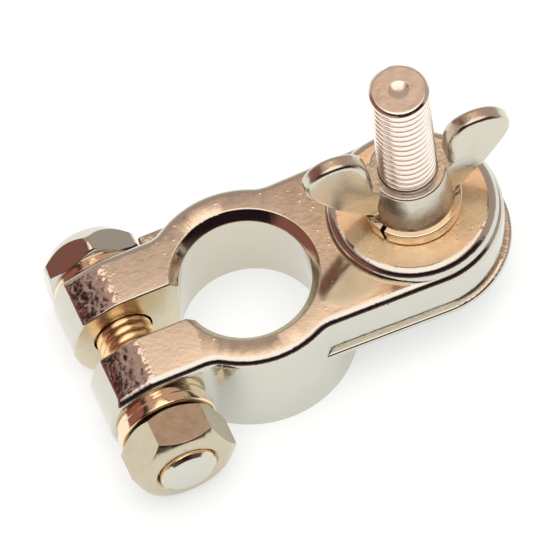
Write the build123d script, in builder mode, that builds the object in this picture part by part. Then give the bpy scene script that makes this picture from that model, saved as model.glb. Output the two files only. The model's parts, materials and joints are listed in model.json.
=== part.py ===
from build123d import *
from math import acos, cos, pi, radians, sin, tan
import os

# Battery terminal clamp, in millimetres.
# The origin is on the axis of the battery post's bore, at the collar's lower face, with +Z up.
# +X points along the arm to the terminal stud, and the clamp bolt lies along Y.

# Cast body: collar round the battery post
body_height = 15.5
bore_top_radius = 8.95
post_taper = 1 / 9
bore_chamfer_width = 1.2
bore_chamfer_depth = 1.3
bore_edge_radius = 0.35
collar_radius = 13.8
collar_skirt = 0.6
shoulder_radius = 1.35

# Cast body: ears on both sides of the slot
slot_width = 5.7
ear_half_width = 10.7
ear_nose_reach = 22.3
ear_nose_length = 5.1
ear_nose_drop = 1.8
ear_end_curve = 11.2
nose_bend_radius = 4.0
ear_toe_overhang = 0.6
ear_toe_height = 2.2
ear_toe_width = 2.0
ear_end_radius = 0.65
ear_root_radius = 3.5
slot_edge_radius = 0.3

# Cast body: the stop on the far ear that keeps the bolt's head from turning
stop_length = 7.0
stop_drop = 3.0
stop_thickness = 2.45
stop_clearance = 0.1
stop_edge_radius = 0.35

# Cast body: arm, boss and lip round the terminal stud
stud_reach = 24.4
arm_thickness = 8.0
arm_root_radius = 11.75
arm_end_radius = 12.3
arm_blend_radius = 5.0
boss_radius = 11.7
boss_height = 1.8
boss_shoulder_radius = 1.5
lip_width = 0.75
lip_height = 1.1
lip_edge_radius = 0.4

# Threaded fasteners, all of the same nominal size
thread_diameter = 8.0
hole_clearance = 0.25
thread_clearance = 0.05
hex_across_flats = 13.0
nut_height = 6.5
nut_mouth_width = 0.45

# Corners turned off the nut and off both ends of the bolt's head: how far inside the flats
# each one starts, and how steeply it falls away
nut_corner_inset = 0.5
nut_corner_angle = 40
seat_corner_inset = 0.3
seat_corner_angle = 30
crown_corner_inset = 1.1
crown_corner_angle = 50
head_corner_radius = 1.0

# Spring washers
spring_washer_diameter = 13.8
spring_washer_bore = 8.4
spring_washer_gap = 0.6
spring_washer_slant = 20
spring_washer_edge = 0.3
stud_washer_thickness = 2.0
stud_washer_gap_angle = 216
nut_washer_thickness = 1.6
nut_washer_gap_angle = 300

# Flat washers under the bolt's head and behind the nut's spring washer
flat_washer_diameter = 13.0
flat_washer_bore = 8.4
flat_washer_thickness = 1.2
flat_washer_edge = 0.2
spot_face_clearance = 0.1

# Terminal stud
stud_tip_height = 46.3
stud_head_height = 5.3
stud_tip_width = 0.55
stud_tip_length = 0.9
stud_dimple_radius = 1.4
stud_dimple_depth = 0.25
stud_dimple_slope = 60
pocket_clearance = 0.05

# Wing nut
hub_top_radius = 5.3
hub_base_radius = 5.7
hub_height = 7.1
hub_foot_height = 0.8
hub_edge_radius = 0.4
wing_reach = 14.4
wing_height = 14.3
wing_thickness = 2.4
wing_root_thickness = 5.0
wing_waist_reach = 9.0
wing_foot_reach = 7.4
wing_foot_height = 0.4
wing_edge_radius = 0.7
wing_turn = -3.2

# Wing outline: its points from the foot round the tip to the neck, as shares of its reach and
# height, and the directions in which it leaves the foot, meets the neck and leaves the hub
wing_outline = (
    (0.69, 0.20),
    (0.89, 0.48),
    (1.0, 0.78),
    (0.88, 0.95),
    (0.69, 1.0),
    (0.49, 0.93),
    (0.41, 0.80),
)
wing_foot_direction = (1, 1)
wing_neck_direction = (-0.1, -1)
wing_root_direction = (1, -0.6)

# Clamp bolt
bolt_end_distance = 5.2
bolt_head_height = 5.0
bolt_tip_past_nut = 0.8
bolt_tip_width = 0.87
bolt_tip_length = 1.0
head_turn = 30.0
nut_turn = -5.6

# Sizes worked out from the ones above
thread_radius = thread_diameter / 2
hole_radius = thread_radius + hole_clearance
nut_bore_radius = thread_radius + thread_clearance
spot_face_radius = flat_washer_diameter / 2 + spot_face_clearance
hex_corner_radius = hex_across_flats / 2 / cos(pi / 6)
arm_underside = body_height - arm_thickness
boss_top = body_height + boss_height
stud_washer_top = boss_top + stud_washer_thickness
stud_head_seat = arm_underside + stud_head_height
bolt_head_seat = ear_half_width + flat_washer_thickness
spring_washer_seat = ear_half_width + flat_washer_thickness
nut_seat = spring_washer_seat + nut_washer_thickness
bolt_tip = nut_seat + nut_height + bolt_tip_past_nut
ear_flat_reach = ear_nose_reach - ear_nose_length
ear_toe_reach = ear_nose_reach + ear_toe_overhang
bolt_reach = ear_nose_reach - bolt_end_distance
bolt_height = body_height / 2
bore_mouth_radius = bore_top_radius + bore_chamfer_width
stop_height = body_height - stop_drop
stop_face_reach = bolt_reach - hex_across_flats / 2 - stop_clearance
stop_outside = ear_half_width + stop_thickness
bore_bottom_radius = bore_top_radius + (body_height - bore_chamfer_depth) * post_taper / 2
skirt_top = body_height - shoulder_radius
wall_middle = (bore_top_radius + collar_radius) / 2
ear_rough_reach = ear_nose_reach + ear_nose_length
nose_slope = ear_nose_drop / (ear_nose_reach - ear_flat_reach)
nose_rough_height = body_height - nose_slope * (ear_rough_reach - ear_flat_reach)
ear_nose_height = body_height - ear_nose_drop
arm_touch_angle = acos((arm_root_radius - arm_end_radius) / stud_reach)


def across(y):
    """The plane square to the clamp bolt at the given Y, its own Z pointing to the nut's side."""
    return Plane(origin=(-bolt_reach, y, bolt_height), x_dir=(1, 0, 0), z_dir=(0, -1, 0))


def above(z):
    """The plane square to the terminal stud at the given height."""
    return Plane(origin=(stud_reach, 0, z), x_dir=(1, 0, 0), z_dir=(0, 0, 1))


def turned_over(plane):
    """The same plane with its own Z pointing the other way."""
    return Plane(origin=plane.origin, x_dir=plane.x_dir, z_dir=-plane.z_dir)


def collar_and_ears():
    """The collar and the ears seen from above, blended where they meet."""
    Circle(collar_radius)
    with Locations((-ear_rough_reach / 2, 0)):
        Rectangle(ear_rough_reach, 2 * ear_half_width)
    fillet(vertices().filter_by(lambda corner: -collar_radius < corner.X < 0), ear_root_radius)


def arm_outline(extra_width):
    """The arm seen from above: its sides run tangent from the collar to the round end about the stud."""
    root_radius = arm_root_radius + extra_width
    end_radius = arm_end_radius + extra_width
    root_x = root_radius * cos(arm_touch_angle)
    root_y = root_radius * sin(arm_touch_angle)
    end_x = stud_reach + end_radius * cos(arm_touch_angle)
    end_y = end_radius * sin(arm_touch_angle)
    with BuildSketch() as outline:
        with BuildLine():
            Polyline((end_x, end_y), (root_x, root_y), (root_x, -root_y), (end_x, -end_y))
            ThreePointArc((end_x, -end_y), (stud_reach + end_radius, 0), (end_x, end_y))
        make_face()
    return outline.sketch


def stop_blank():
    """The stop as a block that runs into the collar's wall, its outer edges rounded."""
    with BuildPart() as block:
        with BuildSketch(Plane.XY):
            with Locations((-stop_face_reach, stop_outside)):
                Rectangle(stop_length, 2 * stop_thickness, align=(Align.MIN, Align.MAX))
        extrude(amount=stop_height)
        outer = edges().filter_by(lambda edge: edge.center().Y > stop_outside - stop_edge_radius)
        fillet(outer.sort_by(Axis.X)[0], stop_edge_radius)
        top_edges = faces().sort_by(Axis.Z)[-1].edges()
        fillet(top_edges.filter_by(lambda edge: edge.center().Y > ear_half_width), stop_edge_radius)
    return block.part


def lip_blank(outline):
    """The lip under the arm's outline, its upper and lower edges rounded."""
    with BuildPart() as block:
        with BuildSketch(Plane.XY.offset(arm_underside)):
            add(outline)
        extrude(amount=lip_height)
        rims = edges().group_by(Axis.Z)[0] + edges().group_by(Axis.Z)[-1]
        fillet(rims.filter_by(lambda edge: edge.center().X > 0), lip_edge_radius)
    return block.part


os.makedirs("parts", exist_ok=True)


# Cast body
arm_shape = arm_outline(0)
arm_lip = lip_blank(arm_outline(lip_width))
head_stop = stop_blank()
with BuildPart() as clamp_body:
    # Up to the arm's underside there are only the collar and the ears
    with BuildSketch(Plane.XY):
        collar_and_ears()
    extrude(amount=arm_underside)

    # Above it the arm joins them
    with BuildSketch(Plane.XY.offset(arm_underside)):
        collar_and_ears()
        add(arm_shape)
        fillet(vertices().filter_by(lambda corner: 0 < corner.X < collar_radius), arm_blend_radius)
    extrude(amount=arm_thickness)

    # The ears' flat top bends down into a sloping nose
    with BuildSketch(Plane.XZ):
        with BuildLine():
            FilletPolyline(
                (-bore_top_radius, body_height),
                (-ear_flat_reach, body_height),
                (-ear_rough_reach, nose_rough_height),
                radius=nose_bend_radius,
            )
            Polyline(
                (-ear_rough_reach, nose_rough_height),
                (-ear_rough_reach, body_height + ear_nose_drop),
                (-bore_top_radius, body_height + ear_nose_drop),
                (-bore_top_radius, body_height),
            )
        make_face()
    extrude(amount=ear_half_width, both=True, mode=Mode.SUBTRACT)

    # The soft shoulder round the top, which leaves out the line where the ears bend down
    top_edges = faces().sort_by(Axis.Z)[-1].outer_wire().edges()
    fillet(top_edges - [top_edges.sort_by(Axis.X)[0]], shoulder_radius)

    # The ears' bulging ends
    with BuildSketch(Plane.XZ):
        with BuildLine():
            nose = (-ear_nose_reach, ear_nose_height)
            toe = (-ear_toe_reach, ear_toe_height)
            RadiusArc(toe, nose, ear_end_curve)
            Polyline(
                toe,
                (-ear_toe_reach + ear_toe_width, 0),
                (-ear_rough_reach, 0),
                (-ear_rough_reach, ear_nose_height),
                nose,
            )
        make_face()
    extrude(amount=ear_half_width, both=True, mode=Mode.SUBTRACT)
    ear_ends = edges().filter_by(lambda edge: edge.center().X < -ear_nose_reach + ear_end_radius / 4)
    fillet(ear_ends.filter_by(lambda edge: edge.center().Z > ear_toe_height), ear_end_radius)

    # The collar spreads towards its foot, as a casting leaves its mould
    with BuildSketch(Plane.XZ):
        with BuildLine():
            Polyline(
                (wall_middle, 0),
                (collar_radius + collar_skirt, 0),
                (collar_radius, skirt_top),
                (wall_middle, skirt_top),
                close=True,
            )
        make_face()
    revolve(axis=Axis.Z)

    # Spot faces on both sides, where the collar would stand in the flat washers' way
    with BuildSketch(across(ear_half_width)):
        Circle(spot_face_radius)
    extrude(amount=-collar_radius, mode=Mode.SUBTRACT)
    with BuildSketch(across(-ear_half_width)):
        Circle(spot_face_radius)
    extrude(amount=collar_radius, mode=Mode.SUBTRACT)

    # The stop beside the bolt's head, against one flat of the hexagon
    add(head_stop)

    # The raised boss round the stud
    with BuildSketch(above(body_height)):
        Circle(boss_radius)
    extrude(amount=boss_height)
    fillet(edges().group_by(Axis.Z)[-1], boss_shoulder_radius)

    # The lip round the arm's lower edge
    add(arm_lip)

    # The post's tapered bore, with a turned chamfer at its mouth
    with BuildSketch(Plane.XZ):
        with BuildLine():
            FilletPolyline(
                (bore_bottom_radius, 0),
                (bore_top_radius, body_height - bore_chamfer_depth),
                (bore_mouth_radius, body_height),
                (bore_mouth_radius + bore_edge_radius, body_height),
                radius=bore_edge_radius,
            )
            Polyline(
                (bore_mouth_radius + bore_edge_radius, body_height),
                (bore_mouth_radius + bore_edge_radius, boss_top),
                (0, boss_top),
                (0, 0),
                (bore_bottom_radius, 0),
            )
        make_face()
    revolve(axis=Axis.Z, mode=Mode.SUBTRACT)

    # The slot that lets the ears close on the post, its rims softened
    with BuildSketch(Plane.XY):
        with Locations((-ear_rough_reach / 2, 0)):
            Rectangle(ear_rough_reach, slot_width)
    extrude(amount=body_height, mode=Mode.SUBTRACT)
    slot_walls = faces().filter_by(Axis.Y).filter_by(lambda wall: abs(wall.center().Y) < slot_width)
    rims = slot_walls.edges().filter_by(lambda edge: edge.center().Z > ear_toe_height)
    fillet(rims.filter_by(lambda edge: edge.center().X < -bore_mouth_radius), slot_edge_radius)

    # The bolt's hole through both ears
    with BuildSketch(across(ear_half_width)):
        Circle(hole_radius)
    extrude(amount=2 * ear_half_width, mode=Mode.SUBTRACT)

    # The stud comes up through the boss, and its head sits in a pocket under the arm
    with BuildSketch(above(arm_underside)):
        RegularPolygon(hex_across_flats / 2 + pocket_clearance, 6, major_radius=False)
    extrude(amount=stud_head_height, mode=Mode.SUBTRACT)
    with BuildSketch(above(stud_head_seat)):
        Circle(hole_radius)
    extrude(amount=boss_top - stud_head_seat, mode=Mode.SUBTRACT)

clamp_body.part.label = "clamp_body"
export_step(clamp_body.part, "parts/clamp_body.step")


def hexagon_blank(plane, turn, height, foot_corner=None, crown_corner=None, corner_radius=0):
    """A slice of hexagon bar that grows along the plane's normal.

    Each end's corner is how far inside the flats its chamfer starts and the chamfer's angle,
    or None where the end is left sharp. The corner radius rounds the bar's own corners.
    """
    flat_radius = hex_across_flats / 2
    foot = [(hex_corner_radius, 0)]
    crown = [(hex_corner_radius, height)]
    if foot_corner:
        inset, angle = foot_corner
        drop = (hex_corner_radius - flat_radius + inset) * tan(radians(angle))
        foot = [(flat_radius - inset, 0), (hex_corner_radius, drop)]
    if crown_corner:
        inset, angle = crown_corner
        drop = (hex_corner_radius - flat_radius + inset) * tan(radians(angle))
        crown = [(hex_corner_radius, height - drop), (flat_radius - inset, height)]
    with BuildPart() as blank:
        with BuildSketch(plane):
            RegularPolygon(flat_radius, 6, major_radius=False, rotation=turn)
            if corner_radius:
                fillet(vertices(), corner_radius)
        extrude(amount=height)
        with BuildSketch(Plane(origin=plane.origin, x_dir=plane.x_dir, z_dir=-plane.y_dir)):
            with BuildLine():
                Polyline((0, 0), *foot, *crown, (0, height), close=True)
            make_face()
        revolve(axis=Axis(plane.origin, plane.z_dir), mode=Mode.INTERSECT)
    return blank.part


def spring_washer_ring(plane, thickness, gap_angle):
    """A split ring that lies on the plane, its ends cut on a slant where the gap angle points."""
    gap_direction = plane.x_dir.rotate(Axis((0, 0, 0), plane.z_dir), gap_angle)
    gap_plane = Plane(origin=plane.origin, x_dir=plane.z_dir.cross(gap_direction), z_dir=gap_direction)
    with BuildPart() as ring:
        with BuildSketch(plane):
            Circle(spring_washer_diameter / 2)
            Circle(spring_washer_bore / 2, mode=Mode.SUBTRACT)
        extrude(amount=thickness)
        fillet(edges().filter_by(GeomType.CIRCLE), spring_washer_edge)
        with BuildSketch(gap_plane):
            with Locations((0, thickness / 2)):
                Rectangle(spring_washer_gap, spring_washer_diameter, rotation=spring_washer_slant)
        extrude(amount=spring_washer_diameter, mode=Mode.SUBTRACT)
    return ring.part


def flat_washer_ring(plane):
    """A plain washer that lies on the plane."""
    with BuildPart() as ring:
        with BuildSketch(plane):
            Circle(flat_washer_diameter / 2)
            Circle(flat_washer_bore / 2, mode=Mode.SUBTRACT)
        extrude(amount=flat_washer_thickness)
        chamfer(edges().filter_by(GeomType.CIRCLE), flat_washer_edge)
    return ring.part


def shank(plane, length, tip_width, tip_length):
    """A fastener's threaded length, as a plain rod with a chamfered tip."""
    with BuildPart() as rod:
        with BuildSketch(plane):
            Circle(thread_radius)
        extrude(amount=length)
        tip = faces().sort_by(Axis(plane.origin, plane.z_dir))[-1]
        chamfer(tip.edges(), tip_length, tip_width, reference=tip)
    return rod.part


# Terminal stud, its head held flush under the arm
stud_head = hexagon_blank(turned_over(above(stud_head_seat)), 0, stud_head_height)
stud_shank = shank(above(stud_head_seat), stud_tip_height - stud_head_seat, stud_tip_width, stud_tip_length)
with BuildPart() as terminal_stud:
    add(stud_head)
    add(stud_shank)
    # The shallow mark that turning leaves in the middle of the tip
    with BuildSketch(above(stud_tip_height)):
        Circle(stud_dimple_radius)
    extrude(amount=-stud_dimple_depth, taper=stud_dimple_slope, mode=Mode.SUBTRACT)

terminal_stud.part.label = "terminal_stud"
export_step(terminal_stud.part, "parts/terminal_stud.step")

# Spring washer between the boss and the wing nut
stud_ring = spring_washer_ring(above(boss_top), stud_washer_thickness, stud_washer_gap_angle)
with BuildPart() as stud_spring_washer:
    add(stud_ring)

stud_spring_washer.part.label = "stud_spring_washer"
export_step(stud_spring_washer.part, "parts/stud_spring_washer.step")


def wing_blank(wing_direction):
    """One wing, cut to its outline from the side and to its thickness from above."""
    wing_plane = Plane(
        origin=above(stud_washer_top).origin,
        x_dir=wing_direction,
        z_dir=wing_direction.rotate(Axis.Z, -90),
    )
    plan_plane = Plane(origin=above(stud_washer_top).origin, x_dir=wing_direction, z_dir=(0, 0, 1))
    inside = (nut_bore_radius + hub_top_radius) / 2
    with BuildPart() as wing:
        # Up from the foot, round the tip, back over the top and down to the hub's upper edge
        with BuildSketch(wing_plane):
            with BuildLine():
                foot = (wing_foot_reach, wing_foot_height)
                neck = (hub_top_radius, hub_height)
                Spline(
                    foot,
                    *((out * wing_reach, up * wing_height) for out, up in wing_outline),
                    neck,
                    tangents=(wing_foot_direction, wing_neck_direction),
                )
                Polyline(neck, (inside, hub_height), (inside, wing_foot_height), foot)
            make_face()
        extrude(amount=wing_root_thickness, both=True)

        # Thick where it leaves the hub and thin from the waist outwards
        with BuildSketch(plan_plane):
            with BuildLine():
                root_side = (inside, wing_root_thickness / 2)
                waist_side = (wing_waist_reach, wing_thickness / 2)
                tip_side = (wing_reach + wing_thickness, wing_thickness / 2)
                side = Spline(root_side, waist_side, tangents=(wing_root_direction, (1, 0)))
                Line(waist_side, tip_side)
                Line(tip_side, (tip_side[0], -tip_side[1]))
                Line((tip_side[0], -tip_side[1]), (waist_side[0], -waist_side[1]))
                mirror(side, about=Plane.XZ)
                Line((root_side[0], -root_side[1]), root_side)
            make_face()
        extrude(amount=wing_height + wing_thickness, mode=Mode.INTERSECT)
        rim = edges().filter_by(GeomType.BSPLINE).filter_by(
            lambda edge: wing_plane.to_local_coords(edge.center()).X > hub_base_radius + wing_foot_height / 2
            and abs(wing_plane.to_local_coords(edge.center()).Z) > wing_thickness / 4
        )
        fillet(rim, wing_edge_radius)
    return wing.part


# Wing nut: a waisted hub with two rounded wings
first_direction = Vector(1, 0, 0).rotate(Axis.Z, wing_turn)
first_wing = wing_blank(first_direction)
second_wing = wing_blank(-first_direction)
with BuildPart() as wing_nut:
    with BuildSketch(Plane(above(stud_washer_top).origin, x_dir=(1, 0, 0), z_dir=(0, -1, 0))):
        with BuildLine():
            Polyline(
                (0, 0),
                (hub_base_radius, 0),
                (hub_base_radius, hub_foot_height),
                (hub_top_radius, hub_foot_height + hub_base_radius - hub_top_radius),
                (hub_top_radius, hub_height),
                (0, hub_height),
                close=True,
            )
        make_face()
    revolve(axis=Axis(above(0).origin, (0, 0, 1)))
    fillet(edges().group_by(Axis.Z)[-1], hub_edge_radius)
    add(first_wing)
    add(second_wing)
    with BuildSketch(above(stud_washer_top)):
        Circle(nut_bore_radius)
    extrude(amount=wing_height, mode=Mode.SUBTRACT)

wing_nut.part.label = "wing_nut"
export_step(wing_nut.part, "parts/wing_nut.step")

# Clamp bolt, its hexagon head on the far side of the ears, one flat against the stop
bolt_head = hexagon_blank(
    turned_over(across(bolt_head_seat)),
    head_turn,
    bolt_head_height,
    (seat_corner_inset, seat_corner_angle),
    (crown_corner_inset, crown_corner_angle),
    head_corner_radius,
)
bolt_shank = shank(across(bolt_head_seat), bolt_head_seat + bolt_tip, bolt_tip_width, bolt_tip_length)
with BuildPart() as clamp_bolt:
    add(bolt_head)
    add(bolt_shank)

clamp_bolt.part.label = "clamp_bolt"
export_step(clamp_bolt.part, "parts/clamp_bolt.step")

# Flat washer under the bolt's head
head_ring = flat_washer_ring(across(bolt_head_seat))
with BuildPart() as head_flat_washer:
    add(head_ring)

head_flat_washer.part.label = "head_flat_washer"
export_step(head_flat_washer.part, "parts/head_flat_washer.step")

# Flat washer on the nut's side
nut_ring = flat_washer_ring(across(-ear_half_width))
with BuildPart() as nut_flat_washer:
    add(nut_ring)

nut_flat_washer.part.label = "nut_flat_washer"
export_step(nut_flat_washer.part, "parts/nut_flat_washer.step")

# Spring washer under the nut
nut_spring_ring = spring_washer_ring(across(-spring_washer_seat), nut_washer_thickness, nut_washer_gap_angle)
with BuildPart() as nut_spring_washer:
    add(nut_spring_ring)

nut_spring_washer.part.label = "nut_spring_washer"
export_step(nut_spring_washer.part, "parts/nut_spring_washer.step")

# Clamp nut
nut_corner = (nut_corner_inset, nut_corner_angle)
nut_blank = hexagon_blank(across(-nut_seat), nut_turn, nut_height, nut_corner, nut_corner)
with BuildPart() as clamp_nut:
    add(nut_blank)
    with BuildSketch(across(-nut_seat)):
        Circle(nut_bore_radius)
    extrude(amount=nut_height, mode=Mode.SUBTRACT)
    mouths = edges().filter_by(GeomType.CIRCLE).filter_by(lambda edge: edge.radius < thread_diameter)
    chamfer(mouths, nut_mouth_width)

clamp_nut.part.label = "clamp_nut"
export_step(clamp_nut.part, "parts/clamp_nut.step")
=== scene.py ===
"""Battery terminal clamp in plated brass: the looks of each piece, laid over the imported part."""

import json
import logging
import math
from collections.abc import Callable
from dataclasses import dataclass, field
from enum import Enum, IntEnum

import bpy
from mathutils import Matrix, Vector


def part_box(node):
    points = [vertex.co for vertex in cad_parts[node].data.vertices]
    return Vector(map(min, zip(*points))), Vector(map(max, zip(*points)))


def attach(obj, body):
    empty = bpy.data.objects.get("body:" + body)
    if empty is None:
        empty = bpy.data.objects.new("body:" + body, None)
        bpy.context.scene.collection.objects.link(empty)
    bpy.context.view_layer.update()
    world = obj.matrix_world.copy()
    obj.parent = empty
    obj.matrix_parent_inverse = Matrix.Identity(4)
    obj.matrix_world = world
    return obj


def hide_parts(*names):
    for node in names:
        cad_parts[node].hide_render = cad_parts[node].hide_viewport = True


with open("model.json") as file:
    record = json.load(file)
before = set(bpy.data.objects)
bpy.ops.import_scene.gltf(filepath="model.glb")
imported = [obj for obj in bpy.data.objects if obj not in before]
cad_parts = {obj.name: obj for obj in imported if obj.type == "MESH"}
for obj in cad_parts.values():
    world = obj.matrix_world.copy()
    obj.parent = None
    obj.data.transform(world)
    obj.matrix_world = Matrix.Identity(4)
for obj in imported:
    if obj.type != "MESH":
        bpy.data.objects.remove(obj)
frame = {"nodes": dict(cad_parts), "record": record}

LOG = logging.getLogger("battery_terminal_clamp")
MM = 0.001
SMOOTH_ANGLE = math.radians(28)
FLAT_ANGLE = math.radians(0.5)
EDGE_ANGLE = math.radians(30)
MERGE_DISTANCE = 0.002 * MM
STUD_HEAD_HEIGHT = 5.3 * MM

Tint = tuple[float, float, float]
Aim = tuple[float, float, float]
Edge = tuple[float, float]


class Slot(Enum):
    """The record's material slots."""

    BODY = "cast_body"
    STUD = "stud_plating"
    WING_NUT = "wing_nut_plating"
    BOLT = "bolt_plating"
    WASHER = "washer_plating"


class Lay(Enum):
    """The direction in which a cutting tool left its fine lines, as stretches of a noise pattern."""

    AROUND_Z = (90.0, 90.0, 5200.0)


class CastSurface(IntEnum):
    """The casting's kinds of surface, in the order of its materials."""

    CAST = 0
    BORE = 1
    TOP = 2
    NOSE = 3
    SLOT = 4
    BOSS = 5


class ShankSurface(IntEnum):
    """A threaded shank's two surfaces, in the order of its materials."""

    THREAD = 0
    TIP = 1


@dataclass(frozen=True)
class Plating:
    """A bright plated finish over cast, forged or turned metal.

    The colour drifts between two tints, and a painted warm reflection can warm it along X. The
    surface has an orange-peel swell, finer grain and a few raised specks, and a turned face also has
    the lines that the tool left. A bent face has a crown across X. Scales are features in a metre
    and heights are millimetres.
    """

    name: str
    tint: Tint = (0.64, 0.63, 0.57)
    second_tint: Tint = (0.61, 0.595, 0.525)
    drift_scale: float = 260.0
    roughness: float = 0.07
    roughness_spread: float = 0.10
    haze_edge: Edge = (0.35, 0.75)
    swell_scale: float = 420.0
    swell_height: float = 0.014
    grain_scale: float = 1900.0
    grain_height: float = 0.004
    speck_scale: float = 900.0
    speck_size: float = 0.20
    speck_height: float = 0.020
    speck_edge: Edge = (0.46, 0.62)
    lay: Lay | None = None
    lay_height: float = 0.0
    # Painted warm reflection: a warmer tint laid along a span of X, standing for golden parts that the face
    # mirrors.
    painted_warm_reflection_tint: Tint | None = None
    painted_warm_reflection_span: Edge = (4.0 * MM, 20.0 * MM)
    crown_height: float = 0.0
    crown_middle: float = 0.0
    crown_half_width: float = 1.0 * MM

    def material(self) -> bpy.types.Material:
        """Builds the finish as a node material.

        Returns:
            The material, named after the finish.
        """
        material = bpy.data.materials.new(self.name)
        material.use_nodes = True
        tree = material.node_tree
        shader = tree.nodes["Principled BSDF"]
        shader.inputs["Metallic"].default_value = 1.0
        place = tree.nodes.new("ShaderNodeTexCoord").outputs["Object"]

        tint = blend(tree, noise(tree, place, self.drift_scale, 3.0), self.tint, self.second_tint)
        # Painted warm reflection: the tint turns warmer along X.
        if self.painted_warm_reflection_tint is not None:
            parts = tree.nodes.new("ShaderNodeSeparateXYZ")
            tree.links.new(place, parts.inputs["Vector"])
            tint = blend(tree, step(tree, parts.outputs["X"], self.painted_warm_reflection_span), tint, self.painted_warm_reflection_tint)
        tree.links.new(tint, shader.inputs["Base Color"])

        haze = tree.nodes.new("ShaderNodeMapRange")
        haze.inputs["From Min"].default_value, haze.inputs["From Max"].default_value = self.haze_edge
        haze.inputs["To Min"].default_value = self.roughness
        haze.inputs["To Max"].default_value = self.roughness + self.roughness_spread
        tree.links.new(noise(tree, place, self.grain_scale / 3, 4.0), haze.inputs["Value"])
        tree.links.new(haze.outputs["Result"], shader.inputs["Roughness"])

        normal = bump(tree, noise(tree, place, self.swell_scale, 1.0), self.swell_height, None)
        normal = bump(tree, noise(tree, place, self.grain_scale, 3.0), self.grain_height, normal)
        normal = bump(tree, self.specks(tree, place), self.speck_height, normal)
        if self.crown_height:
            normal = bump(tree, self.crown(tree, place), self.crown_height, normal)
        if self.lay is not None:
            stretch = tree.nodes.new("ShaderNodeMapping")
            stretch.inputs["Scale"].default_value = self.lay.value
            tree.links.new(place, stretch.inputs["Vector"])
            normal = bump(tree, noise(tree, stretch.outputs["Vector"], 1.0, 4.0), self.lay_height, normal)
        tree.links.new(normal, shader.inputs["Normal"])
        return material

    def crown(self, tree: bpy.types.NodeTree, place: bpy.types.NodeSocket) -> bpy.types.NodeSocket:
        """Adds a low round crown across X, as a bent face has.

        Args:
            tree: the material's nodes.
            place: the coordinates that it reads.

        Returns:
            The crown's height, 1 at its middle and 0 at its two edges.
        """
        parts = tree.nodes.new("ShaderNodeSeparateXYZ")
        tree.links.new(place, parts.inputs["Vector"])
        across = tree.nodes.new("ShaderNodeMapRange")
        across.clamp = False
        across.inputs["From Min"].default_value = self.crown_middle
        across.inputs["From Max"].default_value = self.crown_middle + self.crown_half_width
        tree.links.new(parts.outputs["X"], across.inputs["Value"])
        square = times(tree, across.outputs["Result"], across.outputs["Result"])
        height = tree.nodes.new("ShaderNodeMath")
        height.operation = "SUBTRACT"
        height.inputs[0].default_value = 1.0
        tree.links.new(square, height.inputs[1])
        return height.outputs["Value"]

    def specks(self, tree: bpy.types.NodeTree, place: bpy.types.NodeSocket) -> bpy.types.NodeSocket:
        """Adds scattered small domes, as dust under the plating leaves.

        Args:
            tree: the material's nodes.
            place: the coordinates to scatter them over.

        Returns:
            The height of the specks, from 0 between them to 1 at their tops.
        """
        cells = tree.nodes.new("ShaderNodeTexVoronoi")
        cells.inputs["Scale"].default_value = self.speck_scale
        tree.links.new(place, cells.inputs["Vector"])
        dome = tree.nodes.new("ShaderNodeMapRange")
        dome.interpolation_type = "SMOOTHSTEP"
        dome.inputs["From Min"].default_value = self.speck_size
        dome.inputs["From Max"].default_value = 0.0
        tree.links.new(cells.outputs["Distance"], dome.inputs["Value"])
        rare = tree.nodes.new("ShaderNodeMapRange")
        rare.inputs["From Min"].default_value, rare.inputs["From Max"].default_value = self.speck_edge
        tree.links.new(noise(tree, place, self.speck_scale / 5, 1.0), rare.inputs["Value"])
        return times(tree, dome.outputs["Result"], rare.outputs["Result"])


def noise(
    tree: bpy.types.NodeTree, place: bpy.types.NodeSocket, scale: float, detail: float
) -> bpy.types.NodeSocket:
    """Adds a noise texture.

    Args:
        tree: the nodes to add it to.
        place: the coordinates that it reads.
        scale: how many features there are in a metre.
        detail: how many finer layers it has.

    Returns:
        The noise's value.
    """
    texture = tree.nodes.new("ShaderNodeTexNoise")
    texture.inputs["Scale"].default_value = scale
    texture.inputs["Detail"].default_value = detail
    tree.links.new(place, texture.inputs["Vector"])
    return texture.outputs["Fac"]


def bump(
    tree: bpy.types.NodeTree,
    height: bpy.types.NodeSocket,
    depth_mm: float,
    below: bpy.types.NodeSocket | None,
) -> bpy.types.NodeSocket:
    """Adds a bump over the one below it.

    Args:
        tree: the nodes to add it to.
        height: the pattern's height from 0 to 1.
        depth_mm: how deep the pattern is, in millimetres.
        below: the normal that it bends, or None for the surface's own.

    Returns:
        The new normal.
    """
    node = tree.nodes.new("ShaderNodeBump")
    node.inputs["Distance"].default_value = depth_mm * MM
    tree.links.new(height, node.inputs["Height"])
    if below is not None:
        tree.links.new(below, node.inputs["Normal"])
    return node.outputs["Normal"]


def along(tree: bpy.types.NodeTree, direction: bpy.types.NodeSocket, aim: Aim) -> bpy.types.NodeSocket:
    """Adds a dot product, which says how far a direction points along the aim.

    Args:
        tree: the nodes to add it to.
        direction: the direction.
        aim: the aim's X, Y and Z.

    Returns:
        The product.
    """
    node = tree.nodes.new("ShaderNodeVectorMath")
    node.operation = "DOT_PRODUCT"
    node.inputs[1].default_value = aim
    tree.links.new(direction, node.inputs[0])
    return node.outputs["Value"]


def times(
    tree: bpy.types.NodeTree, first: bpy.types.NodeSocket, second: bpy.types.NodeSocket
) -> bpy.types.NodeSocket:
    """Adds a product of two values.

    Args:
        tree: the nodes to add it to.
        first: the first value.
        second: the second value.

    Returns:
        The product.
    """
    node = tree.nodes.new("ShaderNodeMath")
    node.operation = "MULTIPLY"
    tree.links.new(first, node.inputs[0])
    tree.links.new(second, node.inputs[1])
    return node.outputs["Value"]


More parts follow.
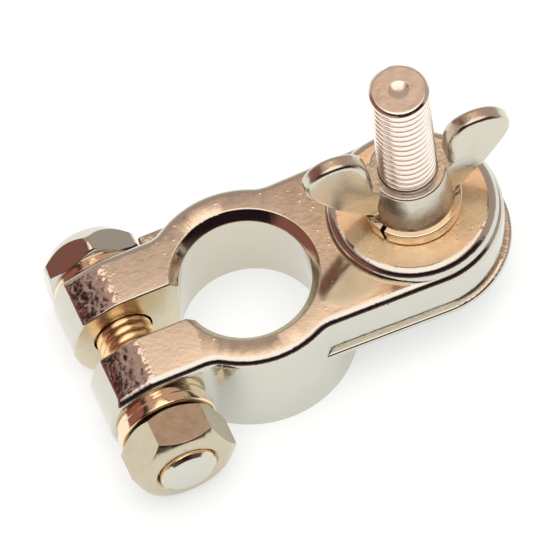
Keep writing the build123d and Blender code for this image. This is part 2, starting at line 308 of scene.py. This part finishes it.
def step(tree: bpy.types.NodeTree, value: bpy.types.NodeSocket, edge: Edge) -> bpy.types.NodeSocket:
    """Adds a soft step.

    Args:
        tree: the nodes to add it to.
        value: what the step depends on.
        edge: the value where the step starts and the one where it ends.

    Returns:
        0 before the edge and 1 past it.
    """
    node = tree.nodes.new("ShaderNodeMapRange")
    node.interpolation_type = "SMOOTHSTEP"
    node.inputs["From Min"].default_value, node.inputs["From Max"].default_value = edge
    tree.links.new(value, node.inputs["Value"])
    return node.outputs["Result"]


def blend(
    tree: bpy.types.NodeTree,
    factor: bpy.types.NodeSocket,
    first: Tint | bpy.types.NodeSocket,
    second: Tint | bpy.types.NodeSocket,
) -> bpy.types.NodeSocket:
    """Adds a mix of two tints.

    Args:
        tree: the nodes to add it to.
        factor: how much of the second tint there is.
        first: a colour, or another node's output.
        second: the same.

    Returns:
        The mixed colour.
    """
    node = tree.nodes.new("ShaderNodeMix")
    node.data_type = "RGBA"
    tree.links.new(factor, node.inputs["Factor"])
    for tint, name in ((first, "A"), (second, "B")):
        if isinstance(tint, bpy.types.NodeSocket):
            tree.links.new(tint, node.inputs[name])
        else:
            node.inputs[name].default_value = (*tint, 1)
    return node.outputs["Result"]


CAST = Plating("cast_plating", roughness=0.09, grain_height=0.016)
# The level tops: a lighter copy of the casting's plating, a painted highlight, warmed towards the boss by a
# painted warm reflection; their smoother surface is real.
CAST_TOP_WITH_PAINTED_LIGHT = Plating(
    "cast_top_plating_painted_light", (0.74, 0.715, 0.63), (0.71, 0.68, 0.585), roughness=0.09, roughness_spread=0.05,
    swell_height=0.003, grain_height=0.003, speck_height=0.012, painted_warm_reflection_tint=(0.72, 0.60, 0.44),
)
# The boss's top: its bright golden tint is a painted reflection of the hub and washers above it; its rougher,
# grainier surface is real.
BOSS_TOP_PAINTED_REFLECTION = Plating(
    "boss_top_plating_painted_reflection", (0.92, 0.76, 0.54), (0.88, 0.69, 0.46), roughness=0.24, roughness_spread=0.14,
    swell_height=0.020, grain_height=0.012,
)
CAST_NOSE = Plating(
    "cast_nose_plating", (0.72, 0.66, 0.62), (0.68, 0.60, 0.56), swell_scale=800.0, swell_height=0.130,
    grain_scale=2400.0, grain_height=0.014, crown_height=0.08, crown_middle=-20.3 * MM,
    crown_half_width=2.3 * MM,
)
# The slot's walls: their golden tint is a painted reflection of the facing ear's plated wall.
SLOT_PAINTED_REFLECTION = Plating(
    "slot_plating_painted_reflection", (0.78, 0.71, 0.56), (0.76, 0.66, 0.48), roughness=0.20, swell_height=0.010,
    grain_height=0.014, speck_height=0.0,
)
BORE = Plating(
    "turned_bore_plating", (0.67, 0.63, 0.54), (0.66, 0.60, 0.49), swell_height=0.006, grain_height=0.010,
    speck_height=0.0,
    lay=Lay.AROUND_Z, lay_height=0.010,
)
STUD = Plating(
    "stud_plating_finish", (0.82, 0.77, 0.70), (0.79, 0.73, 0.65), roughness=0.14, swell_height=0.004,
    grain_height=0.004, speck_height=0.010,
)
STUD_THREAD = Plating(
    "stud_thread_plating", (0.97, 0.88, 0.82), (0.94, 0.82, 0.75), roughness=0.18, swell_height=0.006,
    grain_height=0.008, speck_height=0.0,
)
# The bolt's thread: its orange tint, brighter than the bolt's own plating, is a painted reflection of the
# plated walls around it.
BOLT_THREAD_PAINTED_REFLECTION = Plating(
    "bolt_thread_plating_painted_reflection", (1.00, 0.78, 0.50), (1.00, 0.68, 0.36), roughness=0.20, swell_height=0.008,
    grain_height=0.010, speck_height=0.0,
)
FORGED = Plating(
    "wing_nut_plating_finish", (0.65, 0.63, 0.55), (0.62, 0.58, 0.48), roughness=0.18, swell_height=0.030,
    grain_height=0.020,
)
BOLT = Plating("bolt_plating_finish", swell_scale=700.0, swell_height=0.060, grain_height=0.014)
NUT = Plating(
    "nut_plating_finish", (0.58, 0.53, 0.41), (0.56, 0.50, 0.37), roughness=0.16, swell_height=0.010,
    grain_height=0.008,
)
WASHER = Plating(
    "washer_plating_finish", (0.90, 0.77, 0.58), (0.86, 0.68, 0.47), swell_height=0.010, grain_height=0.010,
    speck_height=0.0,
)


def deselect_everything() -> None:
    """Leaves nothing selected, so that an operator acts on its own piece alone."""
    bpy.ops.object.select_all(action="DESELECT")


def take_up(piece: bpy.types.Object) -> None:
    """Makes the piece the only one selected, and the active one.

    Args:
        piece: the piece, in object mode.
    """
    deselect_everything()
    bpy.context.view_layer.objects.active = piece
    piece.select_set(True)


def select_corners(piece: bpy.types.Object, chosen: Callable[[Vector], bool]) -> None:
    """Selects the vertices whose place passes the test, and no others.

    Args:
        piece: the piece, in object mode.
        chosen: the test of a vertex's place.
    """
    bpy.ops.object.mode_set(mode="EDIT")
    bpy.ops.mesh.select_mode(type="VERT")
    bpy.ops.mesh.select_all(action="DESELECT")
    bpy.ops.object.mode_set(mode="OBJECT")
    for corner in piece.data.vertices:
        corner.select = chosen(corner.co)


def merged_copy(node: str, name: str) -> bpy.types.Object:
    """Copies a CAD node's mesh into a new piece with its doubles merged.

    Args:
        node: the CAD node's name.
        name: the new piece's name.

    Returns:
        The new piece.
    """
    piece = bpy.data.objects.new(name, frame["nodes"][node].data.copy())
    bpy.context.scene.collection.objects.link(piece)
    piece.data.materials.clear()
    take_up(piece)
    bpy.ops.object.mode_set(mode="EDIT")
    bpy.ops.mesh.select_all(action="SELECT")
    bpy.ops.mesh.customdata_custom_splitnormals_clear()
    bpy.ops.mesh.remove_doubles(threshold=MERGE_DISTANCE)
    bpy.ops.object.mode_set(mode="OBJECT")
    return piece


def smooth(piece: bpy.types.Object) -> None:
    """Shades the piece's curved faces smooth and keeps its flats flat up to their edges.

    Args:
        piece: the piece.
    """
    take_up(piece)
    bpy.ops.object.shade_smooth_by_angle(angle=SMOOTH_ANGLE)
    weight = piece.modifiers.new("even_flats", "WEIGHTED_NORMAL")
    weight.keep_sharp = True
    bpy.ops.object.modifier_apply(modifier=weight.name)


def soften_edges(piece: bpy.types.Object, width: float = 0.22 * MM) -> None:
    """Joins the triangles of the flats into whole faces and rounds the sharp edges between them.

    Args:
        piece: the piece.
        width: how far the rounding reaches on each side.
    """
    take_up(piece)
    bpy.ops.object.mode_set(mode="EDIT")
    bpy.ops.mesh.select_all(action="SELECT")
    bpy.ops.mesh.dissolve_limited(angle_limit=FLAT_ANGLE)
    bpy.ops.object.mode_set(mode="OBJECT")
    bevel = piece.modifiers.new("soft_edges", "BEVEL")
    bevel.limit_method = "ANGLE"
    bevel.angle_limit = EDGE_ANGLE
    bevel.width = width
    bevel.segments = 2
    bpy.ops.object.modifier_apply(modifier=bevel.name)


def keep_below(piece: bpy.types.Object, place: Vector, direction: Vector) -> None:
    """Cuts off all of the piece that lies past a plane and closes the cut.

    Args:
        piece: the piece to cut.
        place: a point of the plane.
        direction: the plane's normal, towards the side that goes.
    """
    take_up(piece)
    bpy.ops.object.mode_set(mode="EDIT")
    bpy.ops.mesh.select_all(action="SELECT")
    bpy.ops.mesh.bisect(plane_co=place, plane_no=direction, use_fill=True, clear_outer=True)
    bpy.ops.object.mode_set(mode="OBJECT")


def seat_piece(piece: bpy.types.Object, node: str) -> None:
    """Makes the piece stand for its CAD node and ride on the node's body.

    Args:
        piece: the finished piece.
        node: the CAD node that it replaces.
    """
    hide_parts(node)
    bodies = frame["record"]["behaviour"]["bodies"]
    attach(piece, next(body for body, members in bodies.items() if node in members))
    LOG.info("%s: %d faces", piece.name, len(piece.data.polygons))


@dataclass
class ThreadedShank:
    """A rod with a rounded right-handed thread, as plating leaves it, and a turned tip.

    Lengths are in metres. Each ring of the end is a radius and how far it lies below the one before.
    The thread is made longer than the rod by spare turns, so that its two ends are cut clean.
    """

    name: str
    start: Vector
    direction: Vector
    length: float
    tip_width: float
    tip_length: float
    end_rings: tuple[tuple[float, float], ...]
    crest_radius: float = 4.0 * MM
    root_radius: float = 3.77 * MM
    pitch: float = 1.25 * MM
    rim_rounding: float = 0.18 * MM
    tip_overlap: float = 0.05 * MM
    arch_points: int = 20
    steps: int = 72
    rim_steps: int = 4
    spare_turns: int = 3

    def build(self) -> bpy.types.Object:
        """Makes the rod, closed at both ends.

        Returns:
            The rod, with its place in its mesh.
        """
        rod = self.one_ridge()
        turns = math.ceil(self.length / self.pitch) + self.spare_turns
        screw = rod.modifiers.new("thread", "SCREW")
        screw.angle = math.tau
        screw.screw_offset = self.pitch
        screw.iterations = turns
        screw.steps = self.steps
        screw.render_steps = self.steps
        screw.use_merge_vertices = True
        screw.merge_threshold = MERGE_DISTANCE
        bpy.ops.object.modifier_apply(modifier=screw.name)
        up = Vector((0, 0, 1))
        bottom = up * self.spare_turns / 2 * self.pitch
        keep_below(rod, bottom, -up)
        keep_below(rod, bottom + up * (self.length - self.tip_length + self.tip_overlap), up)
        turn = up.rotation_difference(self.direction).to_matrix().to_4x4()
        rod.data.transform(Matrix.Translation(-bottom))
        add_to(rod, self.turned_tip())
        shoulder = self.length - self.tip_length + self.tip_overlap
        for face in rod.data.polygons:
            face.material_index = ShankSurface.TIP if face.center.z > shoulder else ShankSurface.THREAD
        bpy.ops.object.mode_set(mode="EDIT")
        bpy.ops.mesh.select_all(action="SELECT")
        bpy.ops.mesh.normals_make_consistent(inside=False)
        bpy.ops.object.mode_set(mode="OBJECT")
        rod.data.transform(Matrix.Translation(self.start) @ turn)
        return rod

    def turned_tip(self) -> bpy.types.Object:
        """Makes the end past the thread: its chamfer, its rounded rim and the dimple in its face.

        Returns:
            The tip, where it belongs on the rod that stands on the origin.
        """
        deselect_everything()
        bpy.ops.mesh.primitive_cone_add(
            vertices=self.steps,
            radius1=self.crest_radius,
            radius2=self.crest_radius - self.tip_width,
            depth=self.tip_length,
        )
        tip = bpy.context.object
        tip.data.transform(Matrix.Translation((0, 0, self.length - self.tip_length / 2)))
        end = self.length - MERGE_DISTANCE
        select_corners(tip, lambda place: place.z > end)
        bpy.ops.object.mode_set(mode="EDIT")
        bpy.ops.mesh.bevel(offset=self.rim_rounding, segments=self.rim_steps, affect="EDGES")
        bpy.ops.object.mode_set(mode="OBJECT")
        select_corners(tip, lambda place: place.z > end)
        bpy.ops.object.mode_set(mode="EDIT")
        rim = self.crest_radius - self.tip_width - self.rim_rounding
        for radius, drop in self.end_rings:
            bpy.ops.mesh.inset(thickness=rim - radius, depth=-drop)
            rim = radius
        bpy.ops.object.mode_set(mode="OBJECT")
        select_corners(tip, lambda place: place.z > end)
        bpy.ops.object.mode_set(mode="EDIT")
        bpy.ops.mesh.mark_sharp()
        bpy.ops.object.mode_set(mode="OBJECT")
        return tip

    def one_ridge(self) -> bpy.types.Object:
        """Makes one ridge's arch in the XZ plane: the outer half of a circle, flattened to its height.

        Returns:
            The arch.
        """
        deselect_everything()
        bpy.ops.mesh.primitive_circle_add(vertices=self.arch_points, radius=self.pitch / 2)
        ridge = bpy.context.object
        ridge.name = self.name
        bpy.ops.object.mode_set(mode="EDIT")
        bpy.ops.mesh.select_all(action="SELECT")
        bpy.ops.transform.resize(value=(2 * (self.crest_radius - self.root_radius) / self.pitch, 1, 1))
        bpy.ops.transform.translate(value=(self.root_radius, 0, 0))
        bpy.ops.object.mode_set(mode="OBJECT")
        select_corners(ridge, lambda place: place.x < self.root_radius - MERGE_DISTANCE)
        for corner in ridge.data.vertices:
            corner.co = (corner.co.x, 0, corner.co.y)
        bpy.ops.object.mode_set(mode="EDIT")
        bpy.ops.mesh.delete(type="VERT")
        bpy.ops.object.mode_set(mode="OBJECT")
        return ridge


def add_to(piece: bpy.types.Object, other: bpy.types.Object) -> None:
    """Joins the other piece's mesh into this one.

    Args:
        piece: the piece that stays.
        other: the piece that it takes in.
    """
    take_up(piece)
    other.select_set(True)
    bpy.ops.object.join()


@dataclass
class CastBody:
    """The one casting: collar, ears, arm, boss, lip and stop."""

    bore_radius: float = 10.45 * MM
    top_height: float = 15.4 * MM
    nose_start: float = -17.0 * MM
    level: float = 0.999
    nose_level: float = 0.9
    facing_in: float = 0.1
    slot_start: float = -9.0 * MM
    slot_reach: float = 3.4 * MM

    def build(self) -> None:
        """Makes the casting and dresses it."""
        body = merged_copy("clamp_body", "cast_body")
        smooth(body)
        self.dress(body)
        seat_piece(body, "clamp_body")

    def dress(self, body: bpy.types.Object) -> None:
        """Gives each kind of cast surface its own finish; three carry painted light in their tints.

        Args:
            body: the casting.
        """
        # The tops, the boss's top and the slot's walls carry painted light in their tints: a painted highlight
        # and painted reflections.
        surface_finishes_and_painted_light = {
            CastSurface.CAST: CAST,
            CastSurface.BORE: BORE,
            CastSurface.TOP: CAST_TOP_WITH_PAINTED_LIGHT,
            CastSurface.NOSE: CAST_NOSE,
            CastSurface.SLOT: SLOT_PAINTED_REFLECTION,
            CastSurface.BOSS: BOSS_TOP_PAINTED_REFLECTION,
        }
        for surface in CastSurface:
            body.data.materials.append(surface_finishes_and_painted_light[surface].material())
        boss_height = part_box("clamp_body")[1].z - MERGE_DISTANCE
        for face in body.data.polygons:
            place, normal = face.center, face.normal
            faces_in = normal.xy.dot(place.xy) < -self.facing_in * place.xy.length
            if place.xy.length < self.bore_radius and faces_in:
                face.material_index = CastSurface.BORE
            elif place.z > boss_height:
                face.material_index = CastSurface.BOSS
            elif normal.z > self.level and place.z > self.top_height:
                face.material_index = CastSurface.TOP
            elif normal.z > self.nose_level and place.x < self.nose_start:
                face.material_index = CastSurface.NOSE
            elif self.in_slot(place) and normal.y * place.y < -self.nose_level * abs(place.y):
                face.material_index = CastSurface.SLOT

    def in_slot(self, place: Vector) -> bool:
        """Says whether a place lies in the slot between the ears."""
        return place.x < self.slot_start and abs(place.y) < self.slot_reach


@dataclass
class HeadedPiece:
    """A threaded piece with a head: the stud or the bolt.

    The shank starts inside the head, so that the two overlap. Lengths are in metres.
    """

    node: str
    name: str
    slot: Slot
    finish: Plating
    seat: Vector
    direction: Vector
    length: float
    tip_width: float
    tip_length: float
    end_rings: tuple[tuple[float, float], ...]
    thread_finish_and_painted_reflection: Plating
    overlap: float = 0.5 * MM

    def build(self) -> None:
        """Makes the head and the threaded shank, joins them and dresses them."""
        head = merged_copy(self.node, self.name)
        keep_below(head, self.seat, self.direction)
        shank = ThreadedShank(
            name=self.name + "_thread",
            start=self.seat - self.direction * self.overlap,
            direction=self.direction,
            length=self.length + self.overlap,
            tip_width=self.tip_width,
            tip_length=self.tip_length,
            end_rings=self.end_rings,
        ).build()
        finish = self.finish.material()
        head.data.materials.append(finish)
        shank.data.materials.append(self.thread_finish_and_painted_reflection.material())
        shank.data.materials.append(finish)
        soften_edges(head)
        add_to(head, shank)
        smooth(head)
        seat_piece(head, self.node)


@dataclass
class PlatedPiece:
    """A piece whose CAD shape is right as it is, and which only needs its finish."""

    node: str
    name: str
    slot: Slot
    finish: Plating
    soft: bool = False

    def build(self) -> None:
        """Makes the piece and dresses it."""
        piece = merged_copy(self.node, self.name)
        if self.soft:
            soften_edges(piece)
        smooth(piece)
        piece.data.materials.append(self.finish.material())
        seat_piece(piece, self.node)


@dataclass
class WingNut:
    """The forged wing nut, whose hub tapers evenly from its base to its top."""

    base_radius: float = 5.7 * MM
    foot_radius: float = 6.0 * MM
    top_radius: float = 5.3 * MM
    height: float = 7.1 * MM
    foot_height: float = 0.8 * MM
    foot_top: float = 1.2 * MM
    slack: float = 0.06 * MM

    def build(self) -> None:
        """Makes the wing nut and dresses it."""
        nut = merged_copy("wing_nut", "wing_nut_forging")
        self.even_out(nut)
        smooth(nut)
        nut.data.materials.append(FORGED.material())
        seat_piece(nut, "wing_nut")

    def even_out(self, nut: bpy.types.Object) -> None:
        """Moves the rings of the hub's foot to the straight line from its base to its top.

        Args:
            nut: the wing nut.
        """
        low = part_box("wing_nut")[0].z
        stud_low, stud_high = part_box("terminal_stud")
        middle = (stud_low.xy + stud_high.xy) / 2
        rings = (0.0, self.base_radius), (self.foot_height, self.base_radius), (self.foot_top, self.top_radius)
        for ring_height, ring_radius in rings:
            radius = self.foot_radius + (self.top_radius - self.foot_radius) * ring_height / self.height
            for corner in nut.data.vertices:
                out = corner.co.xy - middle
                on_ring = abs(corner.co.z - low - ring_height) < self.slack
                if on_ring and abs(out.length - ring_radius) < self.slack:
                    corner.co.xy = middle + out * (radius / out.length)


@dataclass
class Studio:
    """The pale floor, the soft light and the camera at the photograph's angle.

    The metal mirrors the room: a bright ceiling, warm walls with a window under its dark frame, and
    a dark near side with a brown corner. An aim is a direction, an edge says how far a direction
    points along its aim where the tint starts and ends, and a rise is the same for its height.
    """

    aim: Vector = field(default_factory=lambda: Vector((15, 0, 8)) * MM)
    azimuth: float = -16.6
    elevation: float = 60.085
    roll: float = -7.311
    distance: float = 1149.83 * MM
    focal_pixels: float = 8541.24
    photo_side: float = 560.0
    aim_pixel: tuple[float, float] = (351.228, 260.907)
    floor_side: float = 6.0
    low_wall_tint: Tint = (0.50, 0.44, 0.39)
    wall_tint: Tint = (0.54, 0.38, 0.31)
    frame_tint: Tint = (0.10, 0.075, 0.065)
    window_tint: Tint = (2.00, 1.46, 1.15)
    high_wall_tint: Tint = (1.10, 0.80, 0.63)
    dark_tint: Tint = (0.020, 0.010, 0.014)
    low_dark_tint: Tint = (0.13, 0.085, 0.07)
    brown_tint: Tint = (0.30, 0.12, 0.095)
    ceiling_tint: Tint = (1.55, 1.40, 1.30)
    dark_aim: Aim = (-0.63, -0.78, 0.0)
    brown_aim: Aim = (-0.85, 0.53, 0.0)
    ceiling_aim: Aim = (-0.040, -0.133, 0.990)
    dark_edge: Edge = (-0.22, -0.10)
    brown_edge: Edge = (0.35, 0.65)
    ceiling_edge: Edge = (0.85, 0.92)
    wall_rise: Edge = (0.35, 0.75)
    frame_rise: Edge = (0.842, 0.856)
    window_rise: Edge = (0.850, 0.893)
    high_wall_rise: Edge = (0.893, 0.94)
    dark_rise: Edge = (0.20, 0.34)
    dark_end: Edge = (0.72, 0.84)
    brown_end: Edge = (0.70, 0.62)
    floor_tint: Tint = (0.42, 0.43, 0.43)
    floor_glow_tint: Tint = (0.97, 1.0, 0.99)
    floor_glow: float = 0.60
    lamp_height: float = 1.6
    lamp_side: float = 2.4
    lamp_power: float = 30.0

    def build(self) -> None:
        """Makes the camera, the floor and the light."""
        self.make_camera()
        self.make_floor()
        self.make_room()
        self.make_lamp()

    def make_camera(self) -> None:
        """Makes the camera, turned so that the middle of its view is the middle of the photograph."""
        azimuth, elevation, roll = (math.radians(a) for a in (self.azimuth, self.elevation, self.roll))
        back = Vector((
            math.sin(azimuth) * math.cos(elevation),
            -math.cos(azimuth) * math.cos(elevation),
            math.sin(elevation),
        ))
        right = (-back).cross(Vector((0, 0, 1))).normalized()
        up = right.cross(-back)
        right, up = (
            right * math.cos(roll) + up * math.sin(roll),
            up * math.cos(roll) - right * math.sin(roll),
        )
        place = self.aim + back * self.distance
        middle = self.photo_side / 2
        ray = (
            -back * self.focal_pixels
            + right * (middle - self.aim_pixel[0])
            + up * (self.aim_pixel[1] - middle)
        ).normalized()
        across = (right - ray * right.dot(ray)).normalized()
        turn = Matrix((across, (-ray).cross(across), -ray)).transposed()
        data = bpy.data.cameras.new("camera")
        data.lens = self.focal_pixels / self.photo_side * data.sensor_width
        data.clip_start = 0.01
        data.clip_end = 20
        camera = bpy.data.objects.new("camera", data)
        camera.matrix_world = Matrix.Translation(place) @ turn.to_4x4()
        bpy.context.scene.collection.objects.link(camera)
        bpy.context.scene.camera = camera

    def make_floor(self) -> None:
        """Makes the plain pale floor under the clamp."""
        deselect_everything()
        bpy.ops.mesh.primitive_plane_add(size=self.floor_side, location=(0, 0, 0))
        floor = bpy.context.object
        floor.name = "floor"
        material = bpy.data.materials.new("pale_floor")
        material.use_nodes = True
        shader = material.node_tree.nodes["Principled BSDF"]
        shader.inputs["Base Color"].default_value = (*self.floor_tint, 1)
        shader.inputs["Roughness"].default_value = 1.0
        shader.inputs["Emission Color"].default_value = (*self.floor_glow_tint, 1)
        shader.inputs["Emission Strength"].default_value = self.floor_glow
        floor.data.materials.append(material)

    def make_lamp(self) -> None:
        """Makes the wide soft lamp that lights the floor."""
        deselect_everything()
        bpy.ops.object.light_add(type="AREA", location=(0, 0, self.lamp_height))
        lamp = bpy.context.object
        lamp.name = "soft_lamp"
        lamp.data.size = self.lamp_side
        lamp.data.energy = self.lamp_power
        lamp.visible_glossy = False

    def make_room(self) -> None:
        """Makes the room that the metal mirrors."""
        world = bpy.data.worlds.new("studio_room")
        world.use_nodes = True
        tree = world.node_tree
        direction = tree.nodes.new("ShaderNodeTexCoord").outputs["Generated"]
        parts = tree.nodes.new("ShaderNodeSeparateXYZ")
        tree.links.new(direction, parts.inputs["Vector"])
        height = parts.outputs["Z"]
        near = step(tree, along(tree, direction, self.dark_aim), self.dark_edge)
        brown = step(tree, along(tree, direction, self.brown_aim), self.brown_edge)
        overhead = step(tree, along(tree, direction, self.ceiling_aim), self.ceiling_edge)
        walls = blend(tree, step(tree, height, self.wall_rise), self.low_wall_tint, self.wall_tint)
        walls = blend(tree, step(tree, height, self.frame_rise), walls, self.frame_tint)
        walls = blend(tree, step(tree, height, self.window_rise), walls, self.window_tint)
        walls = blend(tree, step(tree, height, self.high_wall_rise), walls, self.high_wall_tint)
        low_brown = times(tree, brown, step(tree, height, self.brown_end))
        shade = blend(tree, step(tree, height, self.dark_rise), self.low_dark_tint, self.dark_tint)
        shade = blend(tree, low_brown, shade, self.brown_tint)
        shade = blend(tree, step(tree, height, self.dark_end), shade, self.wall_tint)
        room = blend(tree, near, walls, shade)
        room = blend(tree, overhead, room, self.ceiling_tint)
        tree.links.new(room, tree.nodes["Background"].inputs["Color"])
        bpy.context.scene.world = world
        bpy.context.scene.view_settings.view_transform = "Standard"


def main() -> None:
    """Builds the clamp's pieces in order and reports each one."""
    logging.basicConfig(level=logging.INFO)
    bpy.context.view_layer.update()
    stud_low, stud_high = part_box("terminal_stud")
    bolt_low, bolt_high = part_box("clamp_bolt")
    washer_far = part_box("head_flat_washer")[1].y
    stud_seat = Vector(((stud_low.x + stud_high.x) / 2, 0, stud_low.z + STUD_HEAD_HEIGHT))
    bolt_seat = Vector(((bolt_low.x + bolt_high.x) / 2, washer_far, (bolt_low.z + bolt_high.z) / 2))
    Studio().build()
    CastBody().build()
    HeadedPiece(
        node="terminal_stud",
        name="stud",
        slot=Slot.STUD,
        finish=STUD,
        seat=stud_seat,
        direction=Vector((0, 0, 1)),
        length=stud_high.z - stud_seat.z,
        tip_width=0.34 * MM,
        tip_length=0.36 * MM,
        end_rings=((1.4 * MM, 0), (0.9 * MM, 0.2 * MM), (0.4 * MM, 0.05 * MM)),
        thread_finish_and_painted_reflection=STUD_THREAD,
    ).build()
    HeadedPiece(
        node="clamp_bolt",
        name="bolt",
        slot=Slot.BOLT,
        finish=BOLT,
        seat=bolt_seat,
        direction=Vector((0, -1, 0)),
        length=bolt_seat.y - bolt_low.y,
        tip_width=0.55 * MM,
        tip_length=0.5 * MM,
        end_rings=((1.6 * MM, 0), (0.5 * MM, 0)),
        # The bolt's thread tint is a painted reflection.
        thread_finish_and_painted_reflection=BOLT_THREAD_PAINTED_REFLECTION,
    ).build()
    WingNut().build()
    PlatedPiece("clamp_nut", "hexagon_nut", Slot.BOLT, NUT, soft=True).build()
    PlatedPiece("stud_spring_washer", "stud_split_ring", Slot.WASHER, WASHER).build()
    PlatedPiece("nut_spring_washer", "nut_split_ring", Slot.WASHER, WASHER).build()
    PlatedPiece("head_flat_washer", "head_ring", Slot.WASHER, WASHER).build()
    PlatedPiece("nut_flat_washer", "nut_ring", Slot.WASHER, WASHER).build()


if __name__ == "__main__":
    main()
